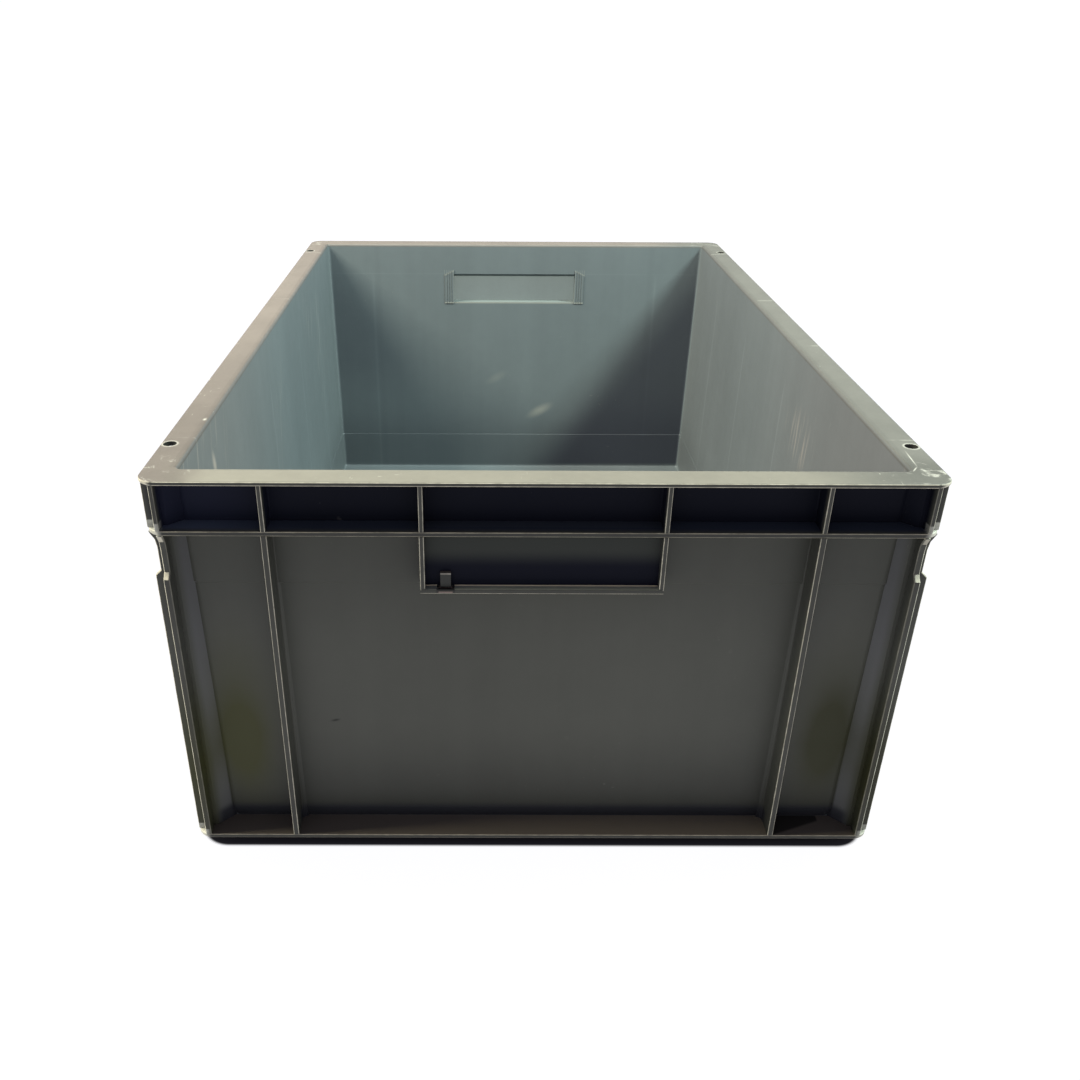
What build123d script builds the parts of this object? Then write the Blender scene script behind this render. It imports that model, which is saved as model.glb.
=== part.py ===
from build123d import *

from math import cos, radians, sin
import os

# A rigid Euro stacking crate, 600 x 400 x 235 mm, injection moulded in one shot of polypropylene.
# Millimetres. +Z is up, +Y runs along the 600 mm length, and the origin is the centre of the base.
# The moulding is divided into its natural regions, one node each: base, walls, corners, rim, flanges,
# ribs and closed hand grips. Neighbouring regions meet face to face and never overlap.

# ---- driving dimensions ---------------------------------------------------------------------------
LENGTH = 600.0  # outside the rim, along Y
WIDTH = 400.0  # outside the rim, along X
HEIGHT = 235.0
RIM_T = 2.5  # every horizontal plate (rim, band flange, base flange) is this thick
RIM_CORNER_R = 10.0
RIM_LIP_R = 2.0  # rounding of the rim's inner top edge
RIM_EDGE_R = 0.9  # rounding of the rim's outer edges
EDGE_R = 0.6  # rounding of the free edges of flanges and ribs
EDGE_SET_BACK = 1.2  # ribs and flanges stop this far inside the rim's outline
WALL_T = 2.5
OPENING_INSET = 17.0  # rim outline to cavity at the top
DRAFT = 3.0  # how much the cavity narrows on each side, from rim to floor
INNER_CORNER_R = 2.6
FOOT_H = 1.2  # the base stands on a low ring
FOOT_W = 22.0
FOOT_INSET = 4.5  # ring's outer edge, in from the outside of the base plate
BASE_T = 2.5
BASE_EDGE_R = 1.8
TOE_R = 2.0  # cavity's rounding between wall and floor
HEEL = ((16.0, 0.0), (13.0, 0.3), (10.8, 0.75), (8.8, 1.3))  # wall tucks in above the base: (height, depth)
BASE_FLANGE_Z = 6.3  # underside of the base flange, which rests on the rim of the crate below
BAND_H = 25.0  # clear height between rim and band flange
PANEL_STEP_Z = 171.0  # the panels are a little thicker above this height
PANEL_STEP = 0.4
KICK_Z = 40.0  # the cavity is a little narrower below this height
KICK = 0.3
STEP_RUN = 0.6  # height over which a step in a wall's face runs out
RIB_ROOT_TOP, RIB_ROOT_BOTTOM = 1.3, 3.0  # radius where a wall rib meets the wall, at its two ends
BAND_ROOT = 0.8

BAND_RIB_T = 2.4
RIB_T = 3.2
END_RIB_X = 140.0  # ribs on the short ends, either side of the middle
LONG_RIB_Y = (62.0, 186.0)  # ribs on the long sides, either side of the middle
CORNER_RIB = 191.8  # corner ribs on the short ends, from the middle
BAND_CORNER_RIB = 192.6
WEB_T = 3.0  # diagonal web from a wall's corner to the corner ribs
NOTCH_TOP_Z, NOTCH_Z1, NOTCH_Z2, NOTCH_Z3, NOTCH_END_Z = 204.5, 200.5, 196.0, 183.0, 180.0
NOTCH_D1, NOTCH_D = 2.4, 3.1  # depth of the notch under the band flange

GRIP_HALF_W = 60.0  # recess of the closed hand grip, inside the crate
GRIP_SIDE_T = 2.5
GRIP_SHELF_Z = 175.0  # top of the shelf below the grip, outside
GRIP_LEDGE_Z = 179.5  # bottom of the recess, inside
GRIP_BACK = 291.0  # inner face of the grip's back panel, from the crate's middle
GRIP_BACK_T = 2.4
RECESS_TOP_Z = 207.0  # top of the recess at the wall's inner face, where the edge above it is cut back
LINTEL_CUT = 1.6  # depth of that cut
PAD_W, PAD_T = 8.8, 0.5  # raised pads at the ends of the recess
PAD_Z, PAD_OUTER_TOP_Z, PAD_TOP_Z = 178.2, 206.8, 210.8  # bottom, and the two ends of the sloping top
PAD_GROOVES = (62.2, 64.4, 66.6)  # fine upright grooves in the pads, from the middle
GROOVE_W, GROOVE_D = 0.5, 0.25

POST_X, POST_W, POST_H, POST_D = -49.5, 5.4, 8.0, 3.0
SCOOP_W, SCOOP_D = 9.0, 1.8  # scoop in the shelf in front of the post

HOLE_R = 3.5
HOLE_X, HOLE_Y = 195.0, 250.0

# ---- derived heights and reaches ------------------------------------------------------------------
FLOOR_Z = FOOT_H + BASE_T
RIM_Z = HEIGHT - RIM_T
BAND_TOP_Z = RIM_Z - BAND_H
BAND_Z = BAND_TOP_Z - RIM_T
BASE_FLANGE_TOP_Z = BASE_FLANGE_Z + RIM_T
HEEL_DEPTH = HEEL[-1][1]
HALF_W, HALF_L = WIDTH / 2, LENGTH / 2
EDGE_X, EDGE_Y = HALF_W - EDGE_SET_BACK, HALF_L - EDGE_SET_BACK
CORNER_SPLIT = 11.0  # the corner regions start this far inside the cavity's walls, at the floor
SPLIT_X = HALF_W - OPENING_INSET - DRAFT - CORNER_SPLIT + INNER_CORNER_R / 2
SPLIT_Y = HALF_L - OPENING_INSET - DRAFT - CORNER_SPLIT + INNER_CORNER_R / 2
FAR = 1000.0  # larger than the crate
ENDS = {"front": 0, "rear": 180}  # turn about Z that carries the front end to this one


# ---- helpers --------------------------------------------------------------------------------------
def block(x0, x1, y0, y1, z0, z1):
    """An axis-aligned box between two corners."""
    return Pos((x0 + x1) / 2, (y0 + y1) / 2, (z0 + z1) / 2) * Box(abs(x1 - x0), abs(y1 - y0), abs(z1 - z0))


def wall_in(z):
    """How far the cavity's wall stands inside the rim's outline at height z."""
    return OPENING_INSET + DRAFT * (HEIGHT - z) / (HEIGHT - FLOOR_Z)


def slab(z0, z1, inset0, inset1, radius):
    """A drafted rounded block from z0 to z1, whose sides stand inset0 and inset1 inside the rim's outline."""
    low = Pos(0, 0, z0) * RectangleRounded(WIDTH - 2 * inset0, LENGTH - 2 * inset0, radius)
    high = Pos(0, 0, z1) * RectangleRounded(WIDTH - 2 * inset1, LENGTH - 2 * inset1, radius)
    return loft([low, high], ruled=True)


def zone(z0, z1, grow, radius):
    """The drafted block between two heights, grown sideways by grow from the cavity's own sides."""
    return slab(z0, z1, wall_in(z0) - grow, wall_in(z1) - grow, radius)


def plate(z0, z1, inset, radius):
    """A flat rounded plate with vertical sides."""
    return slab(z0, z1, inset, inset, radius)


def part_of(shape, x0, x1, y0, y1):
    """The part of a shape over a rectangle of the floor plan."""
    return shape & block(x0, x1, y0, y1, -FAR, FAR)


def four_sides(name, ring):
    """Divides a ring into its front, rear, left and right rails, mitred at the corners."""
    apex = HALF_L - HALF_W
    reach = HALF_W + 10
    end = extrude(Polygon((-reach, -reach - apex), (reach, -reach - apex), (0, -apex), align=None), FAR)
    side = Polygon((-reach, -reach - apex), (0, -apex), (0, apex), (-reach, reach + apex), align=None)
    side = extrude(side, FAR)
    return {
        f"{name}_front": ring & end,
        f"{name}_rear": ring & (Rot(0, 0, 180) * end),
        f"{name}_left": ring & side,
        f"{name}_right": ring & (Rot(0, 0, 180) * side),
    }


def group(shapes):
    """Separate solids kept side by side in one node."""
    return Compound(children=[solid for shape in shapes for solid in shape.solids()])


# ---- the shell: what the walls and corners are cut from --------------------------------------------
def cavity():
    """The space inside the crate, with the low kick step and the rounded toe."""
    low = zone(FLOOR_Z, KICK_Z, -KICK, INNER_CORNER_R)
    low = fillet(low.faces().sort_by(Axis.Z)[0].edges(), TOE_R)
    step = slab(KICK_Z, KICK_Z + STEP_RUN, wall_in(KICK_Z) + KICK, wall_in(KICK_Z + STEP_RUN), INNER_CORNER_R)
    return low + step + zone(KICK_Z + STEP_RUN, HEIGHT, 0, INNER_CORNER_R)


def heel(radius):
    """The foot of the outer form, where the wall tucks in above the base."""
    levels = [*HEEL, (FLOOR_Z, HEEL_DEPTH)]
    form = None
    for (z1, depth1), (z0, depth0) in zip(levels, levels[1:]):
        layer = slab(z0, z1, wall_in(z0) - WALL_T + depth0, wall_in(z1) - WALL_T + depth1, radius)
        form = layer if form is None else form + layer
    return form


def outside():
    """The outer form of the walls, a little thicker in the upper panels."""
    radius = INNER_CORNER_R + WALL_T
    thick = WALL_T + PANEL_STEP
    step_top = PANEL_STEP_Z + STEP_RUN
    step = slab(PANEL_STEP_Z, step_top, wall_in(PANEL_STEP_Z) - WALL_T, wall_in(step_top) - thick, radius)
    return (
        heel(radius)
        + zone(HEEL[0][0], PANEL_STEP_Z, WALL_T, radius)
        + step
        + zone(step_top, BAND_Z, thick, radius)
        + zone(BAND_Z, RIM_Z, WALL_T, radius)
    )


def base_plate():
    """The floor of the crate, with its lower edge rounded."""
    inset = wall_in(FLOOR_Z) - WALL_T + HEEL_DEPTH
    floor = plate(FOOT_H, FLOOR_Z, inset, INNER_CORNER_R + WALL_T)
    return fillet(floor.faces().sort_by(Axis.Z)[0].edges(), BASE_EDGE_R)


def foot_ring():
    """The low ring that the crate stands on, as four mitred strips."""
    inset = wall_in(FLOOR_Z) - WALL_T + HEEL_DEPTH + FOOT_INSET
    outer_x, outer_y = HALF_W - inset, HALF_L - inset
    inner_x, inner_y = outer_x - FOOT_W, outer_y - FOOT_W
    end = Polygon((-outer_x, -outer_y), (outer_x, -outer_y), (inner_x, -inner_y), (-inner_x, -inner_y), align=None)
    side = Polygon((outer_x, -outer_y), (outer_x, outer_y), (inner_x, inner_y), (inner_x, -inner_y), align=None)
    strips = []
    for face in (end, side):
        strip = extrude(face, FOOT_H)
        strips += [strip, Rot(0, 0, 180) * strip]
    return group(strips)


# ---- walls, with the window of a hand grip in each short end ---------------------------------------
def grip_window(y_sign):
    """The window in an end wall that the grip's pocket fills."""
    half = GRIP_HALF_W + GRIP_SIDE_T
    window = block(-half, half, y_sign * (HALF_L - 40), y_sign * HALF_L, GRIP_SHELF_Z, BAND_Z)
    inner, face = HALF_L - 40, HALF_L - wall_in(RECESS_TOP_Z)
    lintel = [(inner, BAND_Z), (inner, RECESS_TOP_Z), (face, RECESS_TOP_Z), (face + LINTEL_CUT, BAND_Z)]
    section = Plane.YZ * Polygon(*[(y_sign * y, z) for y, z in lintel], align=None)
    return window + extrude(section, GRIP_HALF_W, both=True)


def walls(shell):
    """Four wall panels and four corners, cut from the shell."""
    nodes = {
        "wall_front": part_of(shell, -SPLIT_X, SPLIT_X, -FAR, 0) - grip_window(-1),
        "wall_rear": part_of(shell, -SPLIT_X, SPLIT_X, 0, FAR) - grip_window(1),
        "wall_left": part_of(shell, -FAR, 0, -SPLIT_Y, SPLIT_Y),
        "wall_right": part_of(shell, 0, FAR, -SPLIT_Y, SPLIT_Y),
    }
    for end, y in (("front", -1), ("rear", 1)):
        for side, x in (("left", -1), ("right", 1)):
            nodes[f"corner_{end}_{side}"] = part_of(shell, x * SPLIT_X, x * FAR, y * SPLIT_Y, y * FAR)
    return nodes


# ---- plates that run right round -------------------------------------------------------------------
def soft_plate(z0, z1, inset, radius, edge_r):
    """A flat rounded plate with the edges all round its outline softened."""
    made = plate(z0, z1, inset, radius)
    faces = made.faces().sort_by(Axis.Z)
    return fillet(faces[0].edges() + faces[-1].edges(), edge_r)


def rim():
    """The flat top rim, with its inner edge rounded over and a small hole near each corner."""
    ring = soft_plate(RIM_Z, HEIGHT, 0, RIM_CORNER_R, RIM_EDGE_R)
    ring -= zone(RIM_Z - 1, HEIGHT, 0, INNER_CORNER_R)
    top = ring.faces().sort_by(Axis.Z)[-1]
    ring = fillet(top.inner_wires()[0].edges(), RIM_LIP_R)
    for x in (-HOLE_X, HOLE_X):
        for y in (-HOLE_Y, HOLE_Y):
            ring -= Pos(x, y, HEIGHT) * Cylinder(HOLE_R, 4 * RIM_T)
    return ring


def flange(z0, form):
    """A flat flange round the outside of the walls."""
    return soft_plate(z0, z0 + RIM_T, EDGE_SET_BACK, RIM_CORNER_R - EDGE_SET_BACK, EDGE_R) - form


# ---- ribs ------------------------------------------------------------------------------------------
def root_outline(thickness, radius, z):
    """A rib's root at height z on the front end: the rib's width, flaring in an arc onto the wall's face."""
    face = -(HALF_L - wall_in(z) + WALL_T)
    half = thickness / 2
    arc = [
        (half + radius * (1 - cos(turn)), face - radius * (1 - sin(turn)))
        for turn in (radians(0), radians(30), radians(60), radians(90))
    ]
    side = [*arc, (half + radius, face + 2 * WALL_T)]
    return side + [(-x, y) for x, y in reversed(side)]


def rib_blank(thickness, z0, z1, roots):
    """A rib in the middle of the front end, out to the flanges' edge, with rounded roots; not yet cut to the wall."""
    rib = block(-thickness / 2, thickness / 2, -EDGE_Y, -(HALF_L - OPENING_INSET - DRAFT), z0, z1)
    rib = fillet(rib.edges().filter_by(Axis.Z).group_by(Axis.Y)[0], EDGE_R)
    low, high = (
        Pos(0, 0, z) * Polygon(*root_outline(thickness, radius, z), align=None)
        for z, radius in zip((z0, z1), roots)
    )
    return rib + loft([low, high], ruled=True)


def end_rib(x, blank, form):
    """A vertical rib on the front end."""
    return Pos(x, 0, 0) * blank - form


def side_rib(y, blank, form):
    """A vertical rib on the left side."""
    return Pos(HALF_L - HALF_W, y, 0) * Rot(0, 0, -90) * blank - form


def ribs(form):
    """Ribs in the band under the rim, and ribs down the walls, one group to each side."""
    band = rib_blank(BAND_RIB_T, BAND_TOP_Z, RIM_Z, (BAND_ROOT, BAND_ROOT))
    wall = rib_blank(RIB_T, BASE_FLANGE_TOP_Z, BAND_Z, (RIB_ROOT_BOTTOM, RIB_ROOT_TOP))
    grip_x = GRIP_HALF_W + GRIP_SIDE_T / 2
    band_ends = [end_rib(x, band, form) for x in (-END_RIB_X, -grip_x, grip_x, END_RIB_X)]
    wall_ends = [end_rib(x, wall, form) for x in (-END_RIB_X, END_RIB_X)]
    long_ys = sorted([-y for y in LONG_RIB_Y] + list(LONG_RIB_Y))
    band_sides = [side_rib(y, band, form) for y in long_ys]
    wall_sides = [side_rib(y, wall, form) for y in long_ys]
    nodes = {}
    for end, turn in ENDS.items():
        nodes[f"band_ribs_{end}"] = group([Rot(0, 0, turn) * rib for rib in band_ends])
        nodes[f"wall_ribs_{end}"] = group([Rot(0, 0, turn) * rib for rib in wall_ends])
    for side, turn in (("left", 0), ("right", 180)):
        nodes[f"band_ribs_{side}"] = group([Rot(0, 0, turn) * rib for rib in band_sides])
        nodes[f"wall_ribs_{side}"] = group([Rot(0, 0, turn) * rib for rib in wall_sides])
    return nodes


def notched_plate(depth, reach, thickness, z0, z1, notched):
    """An upright rib plate in the plane of (distance from the middle, height), its free edge softened."""
    edge = [(reach, z0), (reach, z1)]
    if notched:
        edge[1:1] = [
            (reach, NOTCH_END_Z),
            (reach - NOTCH_D, NOTCH_Z3),
            (reach - NOTCH_D, NOTCH_Z2),
            (reach - NOTCH_D1, NOTCH_Z1),
            (reach, NOTCH_TOP_Z),
        ]
    outline = [(depth, z0), *edge, (depth, z1)]
    rib = extrude(Plane.YZ * Polygon(*outline, align=None), thickness)
    free = [e for e in rib.edges().filter_by(Axis.X, reverse=True) if e.center().Y > reach - NOTCH_D - 0.1]
    free = [e for e in free if z0 + 0.01 < e.center().Z < z1 - 0.01]
    return chamfer(free, EDGE_R * 0.7) if notched else fillet(free, EDGE_R)


def corner_rib_set(centre, thickness, z0, z1, notched, form):
    """Two ribs that meet at a corner, and the diagonal web that ties them to the wall: right rear corner."""
    along = HALF_L - HALF_W
    near, far = centre - thickness / 2, centre + thickness / 2
    end = Pos(near, 0, 0) * notched_plate(near + along, EDGE_Y, thickness, z0, z1, notched)
    side = notched_plate(far, EDGE_X, thickness, z0, z1, notched)
    side = Pos(0, far + along, 0) * Rot(0, 0, -90) * side
    reach = near - (HALF_W - OPENING_INSET - DRAFT)
    middle = near - reach / 2
    web = Pos(middle, middle + along, (z0 + z1) / 2) * Rot(0, 0, 45) * Box(2 * reach, WEB_T, z1 - z0)
    web = web & block(0, near, 0, near + along, z0, z1)
    return end, side, web - form


def corner_ribs(form):
    """The rib set of each corner, in the band and below it, with the notches under the band flange."""
    upper = corner_rib_set(BAND_CORNER_RIB, BAND_RIB_T, BAND_TOP_Z, RIM_Z, False, form)
    lower = corner_rib_set(CORNER_RIB, RIB_T, BASE_FLANGE_TOP_Z, BAND_Z, True, form)
    pieces = [*upper, *lower]
    nodes = {}
    for end_name, y in (("front", -1), ("rear", 1)):
        for side_name, x in (("left", -1), ("right", 1)):
            placed = pieces
            if x < 0:
                placed = [mirror(piece, Plane.YZ) for piece in placed]
            if y < 0:
                placed = [mirror(piece, Plane.XZ) for piece in placed]
            nodes[f"corner_ribs_{end_name}_{side_name}"] = group(placed)
    return nodes


# ---- closed hand grips on the short ends -----------------------------------------------------------
def grip_panel():
    """The set-out panel that closes the back of the grip."""
    half = GRIP_HALF_W + GRIP_SIDE_T
    return block(-half, half, -GRIP_BACK - GRIP_BACK_T, -GRIP_BACK, GRIP_SHELF_Z, BAND_Z)


def grip_ledge(space):
    """The ledge along the bottom of the recess, from the wall's inner face out to the panel."""
    half = GRIP_HALF_W + GRIP_SIDE_T
    ledge = block(-half, half, -GRIP_BACK, -(HALF_L - 40), GRIP_SHELF_Z, GRIP_LEDGE_Z) - space
    edge = ledge.edges().filter_by(Axis.X).group_by(Axis.Z)[-1].sort_by(Axis.Y)[-1]
    return fillet(edge, EDGE_R)


def grip_cheeks(space):
    """The two sides of the recess."""
    half = GRIP_HALF_W + GRIP_SIDE_T
    cheek = block(GRIP_HALF_W, half, -GRIP_BACK, -(HALF_L - 40), GRIP_LEDGE_Z, BAND_Z) - space
    return group([cheek, mirror(cheek, Plane.YZ)])


def grip_pads():
    """Thin raised pads on the inside of the end wall, one at each end of the recess, finely grooved."""
    x0, x1 = GRIP_HALF_W, GRIP_HALF_W + PAD_W
    outline = Polygon((x0, PAD_Z), (x1, PAD_Z), (x1, PAD_OUTER_TOP_Z), (x0, PAD_TOP_Z), align=None)
    prism = extrude(Plane.XZ * outline, HALF_L)
    levels = (PAD_Z - 1, PAD_TOP_Z + 1)
    pad = (zone(*levels, 0, INNER_CORNER_R) - zone(*levels, -PAD_T, INNER_CORNER_R)) & prism
    for x in PAD_GROOVES:
        groove = block(x - GROOVE_W / 2, x + GROOVE_W / 2, -HALF_L, 0, *levels)
        pad -= groove & zone(*levels, GROOVE_D - PAD_T, INNER_CORNER_R)
    return group([pad, mirror(pad, Plane.YZ)])


def grip_frame(form):
    """The ribs at the ends of the grip and the shelf below it, with the scoop in front of the post."""
    z0 = GRIP_SHELF_Z - RIM_T
    back = GRIP_BACK + GRIP_BACK_T
    half = GRIP_HALF_W + GRIP_SIDE_T
    shelf = block(-half, half, -EDGE_Y, -(HALF_L - OPENING_INSET - DRAFT), z0, GRIP_SHELF_Z)
    shelf = fillet(shelf.edges().filter_by(Axis.X).group_by(Axis.Y)[0], EDGE_R) - form
    scoop = Plane.YZ * Polygon(
        (-back, GRIP_SHELF_Z), (-EDGE_Y + 0.6, GRIP_SHELF_Z), (-back, GRIP_SHELF_Z - SCOOP_D), align=None
    )
    shelf -= Pos(POST_X - SCOOP_W / 2, 0, 0) * extrude(scoop, SCOOP_W)
    rib = block(GRIP_HALF_W, half, -EDGE_Y, -back, GRIP_SHELF_Z, BAND_Z)
    rib = fillet(rib.edges().filter_by(Axis.Z).group_by(Axis.Y)[0], EDGE_R)
    return group([shelf, rib, mirror(rib, Plane.YZ)])


def grip_post():
    """The small square post that stands on the grip's back panel."""
    back = GRIP_BACK + GRIP_BACK_T
    x0, x1 = POST_X - POST_W / 2, POST_X + POST_W / 2
    post = block(x0, x1, -back - POST_D, -back, GRIP_SHELF_Z, GRIP_SHELF_Z + POST_H)
    top_edge = post.edges().filter_by(Axis.X).group_by(Axis.Z)[-1].sort_by(Axis.Y)[0]
    return chamfer(top_edge, 0.6)


def grips(form, space):
    """The closed hand grip of each short end."""
    made = {
        "grip_panel": grip_panel(),
        "grip_ledge": grip_ledge(space),
        "grip_cheeks": grip_cheeks(space),
        "grip_pads": grip_pads(),
        "grip_frame": grip_frame(form),
        "grip_post": grip_post(),
    }
    return {
        f"{name}_{end}": Rot(0, 0, turn) * shape for name, shape in made.items() for end, turn in ENDS.items()
    }


# ---- assembly and export ---------------------------------------------------------------------------
def main():
    space = cavity()
    form = outside()
    nodes = {"base_plate": base_plate(), "base_foot": foot_ring()}
    nodes.update(walls(form - space))
    nodes.update(four_sides("rim", rim()))
    nodes.update(four_sides("band_flange", flange(BAND_Z, form)))
    nodes.update(four_sides("base_flange", flange(BASE_FLANGE_Z, form)))
    nodes.update(ribs(form))
    nodes.update(corner_ribs(form))
    nodes.update(grips(form, space))
    os.makedirs("parts", exist_ok=True)
    for name, shape in nodes.items():
        export_step(shape, f"parts/{name}.step")


main()
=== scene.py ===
"""Looks of the stacking crate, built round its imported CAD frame. Metres, +Z up, +Y along the long sides."""

from math import cos, radians, sin

import bpy
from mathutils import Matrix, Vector


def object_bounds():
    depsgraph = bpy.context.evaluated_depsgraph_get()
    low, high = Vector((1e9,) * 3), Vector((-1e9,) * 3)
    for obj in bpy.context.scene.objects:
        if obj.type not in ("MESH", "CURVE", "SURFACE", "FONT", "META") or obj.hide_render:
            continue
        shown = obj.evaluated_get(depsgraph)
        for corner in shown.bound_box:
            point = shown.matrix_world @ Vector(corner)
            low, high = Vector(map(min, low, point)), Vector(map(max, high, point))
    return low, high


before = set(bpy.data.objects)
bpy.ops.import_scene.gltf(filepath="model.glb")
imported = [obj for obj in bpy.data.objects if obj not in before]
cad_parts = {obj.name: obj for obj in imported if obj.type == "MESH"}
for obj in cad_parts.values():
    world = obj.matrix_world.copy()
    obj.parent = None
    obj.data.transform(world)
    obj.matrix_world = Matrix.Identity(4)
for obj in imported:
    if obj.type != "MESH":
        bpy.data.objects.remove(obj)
size_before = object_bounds()

MM = 0.001
HALF_W, HALF_L, HEIGHT = size_before[1]

# ---- places on the crate that the plastic's detail follows ------------------------------------------
RIM_W = 17 * MM
CAVITY_X = HALF_W - RIM_W  # the cavity's sides at the top
CAVITY_Y = HALF_L - RIM_W
CAVITY_R = 2.6 * MM
CAVITY_FLOOR_Z = 4 * MM
DRAFT_SLOPE = 3.0 / 231.0  # how fast the cavity narrows towards its floor, over its depth
KICK_Z = 40 * MM  # the cavity is a little narrower below this height
EDGE_X = HALF_W - 1.2 * MM  # free edges of ribs and flanges
EDGE_Y = HALF_L - 1.2 * MM
BAND_FLANGE_Z = 206 * MM  # middle of the flange that closes the band below
BAND_LINE_Z = 207 * MM  # just below that flange's top
BASE_FLANGE_Z = 7.5 * MM
FLANGE_HALF_T = 1.8 * MM
END_RIB_X = 140 * MM
CORNER_RIB_INNER = 190.5 * MM  # inner edge of a corner rib, measured across the side that it stands on
CORNER_RIB_STEP = 0.95 * MM  # how much further out that edge is in the band
FLOW_LINES_LEFT = (-47 * MM, 82 * MM, 186 * MM)  # where upright flow lines show on the long walls, along Y
FLOW_LINES_RIGHT = (-53 * MM, 70 * MM, 186 * MM)
GRIP_HALF_W = 60 * MM
RECESS_Z = (178.4 * MM, 207.6 * MM)  # a little past the recess's sill and its top
PAD_OUTER_X = 70 * MM  # a little past the far side and the top of the pads beside the recess
PAD_TOP_Z = 211 * MM
PAD_TOP_SLOPE = 4.0 / 8.8  # how fast the pads' top falls away from the recess
PAD_TOP_MIDDLE_Z = 237.2 * MM  # height of the line along that top, carried on to the crate's middle
SHELF_Z = 175 * MM  # top of the shelf below the grip, outside
PANEL_Y = 293.4 * MM  # outer face of the panel behind each grip
POST_X = -49.5 * MM  # post on the front shelf; the rear one is at the same place after a half turn
HOLE_X, HOLE_Y, HOLE_R = 195 * MM, 250 * MM, 3.5 * MM


# ---- shader graph helper ----------------------------------------------------------------------------
class Graph:
    """Builds shader nodes; its formula methods return the output socket of what they made."""

    def __init__(self, owner):
        owner.use_nodes = True
        self.tree = owner.node_tree
        self.tree.nodes.clear()

    def node(self, kind, output=0, inputs=(), **settings):
        """A new node's output, or the whole node where output is None."""
        made = self.tree.nodes.new(kind)
        for name, value in settings.items():
            setattr(made, name, value)
        for key, value in dict(inputs).items():
            self.feed(made.inputs[key], value)
        return made.outputs[output] if output is not None else made

    def feed(self, socket, value):
        if isinstance(value, bpy.types.NodeSocket):
            self.tree.links.new(value, socket)
        else:
            socket.default_value = value

    def math(self, operation, a, b=0.0):
        return self.node("ShaderNodeMath", inputs={0: a, 1: b}, operation=operation)

    def add(self, *terms):
        total = terms[0]
        for term in terms[1:]:
            total = self.math("ADD", total, term)
        return total

    def sub(self, a, b):
        return self.math("SUBTRACT", a, b)

    def mul(self, *factors):
        product = factors[0]
        for factor in factors[1:]:
            product = self.math("MULTIPLY", product, factor)
        return product

    def invert(self, share):
        return self.sub(1.0, share)

    def most(self, a, b):
        return self.math("MAXIMUM", a, b)

    def least(self, a, b):
        return self.math("MINIMUM", a, b)

    def magnitude(self, value):
        return self.math("ABSOLUTE", value)

    def length(self, a, b):
        return self.math("SQRT", self.add(self.mul(a, a), self.mul(b, b)))

    def past_rounded(self, past_x, past_y, radius):
        """How far a point is outside a rounded rectangle, from how far it is past the straight sides."""
        corner_x = self.most(self.add(past_x, radius), 0.0)
        corner_y = self.most(self.add(past_y, radius), 0.0)
        return self.sub(self.length(corner_x, corner_y), radius)

    def smooth(self, value, low, high):
        """0 at low and 1 at high, with a smooth step between; low may be above high to turn it over."""
        over = low > high
        first, last = (high, low) if over else (low, high)
        return self.node(
            "ShaderNodeMapRange",
            inputs={0: value, 1: first, 2: last, 3: float(over), 4: float(not over)},
            interpolation_type="SMOOTHSTEP",
        )

    def ridge(self, value, centre, width):
        """1 at centre, falling smoothly to 0 at width either side."""
        return self.smooth(self.magnitude(self.sub(value, centre)), width, 0.0)

    def between(self, value, low, high, soft):
        """1 from low to high, with soft ends inside that range."""
        return self.mul(self.smooth(value, low, low + soft), self.smooth(value, high, high - soft))

    def spot(self, u, v, centre, half, turn=0.0):
        """1 at the middle of an ellipse, falling smoothly to 0 at its outline; turn is in degrees."""
        du, dv = self.sub(u, centre[0]), self.sub(v, centre[1])
        c, s = cos(radians(turn)), sin(radians(turn))
        along = self.add(self.mul(du, c / half[0]), self.mul(dv, s / half[0]))
        across = self.sub(self.mul(dv, c / half[1]), self.mul(du, s / half[1]))
        return self.smooth(self.length(along, across), 1.0, 0.0)

    def mix(self, factor, a, b, blend="MIX"):
        made = self.tree.nodes.new("ShaderNodeMix")
        made.data_type = "RGBA"
        made.blend_type = blend
        made.clamp_factor = True
        self.feed(made.inputs["Factor"], factor)
        self.feed(made.inputs[6], a)
        self.feed(made.inputs[7], b)
        return made.outputs[2]

    def scaled(self, colour, tone):
        """A colour times a plain number."""
        grey = self.node("ShaderNodeCombineColor", inputs={channel: tone for channel in range(3)})
        return self.mix(1.0, colour, grey, "MULTIPLY")

    def split(self, vector):
        return self.node("ShaderNodeSeparateXYZ", None, {0: vector}).outputs

    def noise(self, vector, scale, detail=3.0, roughness=0.5, distortion=0.0):
        inputs = {
            "Vector": vector,
            "Scale": scale,
            "Detail": detail,
            "Roughness": roughness,
            "Distortion": distortion,
        }
        return self.node("ShaderNodeTexNoise", inputs=inputs)

    def stretched_noise(self, vector, scales, detail=3.0, roughness=0.5, turn=(0.0, 0.0, 0.0)):
        """Noise whose grain differs along X, Y and Z, after turning it by the given degrees."""
        turned = self.node(
            "ShaderNodeVectorRotate",
            inputs={"Vector": vector, "Rotation": tuple(radians(a) for a in turn)},
            rotation_type="EULER_XYZ",
        )
        scaled = self.node("ShaderNodeVectorMath", inputs={0: turned, 1: scales}, operation="MULTIPLY")
        return self.noise(scaled, 1.0, detail, roughness)

    def finish(self, kind, inputs, into="ShaderNodeOutputMaterial"):
        """Ends the graph in a shader of this kind."""
        self.node(into, None, {"Surface": self.node(kind, inputs=inputs)})


def linear(level):
    """One sRGB channel, 0 to 1, as a linear one."""
    return level / 12.92 if level <= 0.04045 else ((level + 0.055) / 1.055) ** 2.4


def rgb(red, green, blue):
    """An sRGB colour given 0-255 as a linear one."""
    return (linear(red / 255), linear(green / 255), linear(blue / 255), 1.0)


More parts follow.
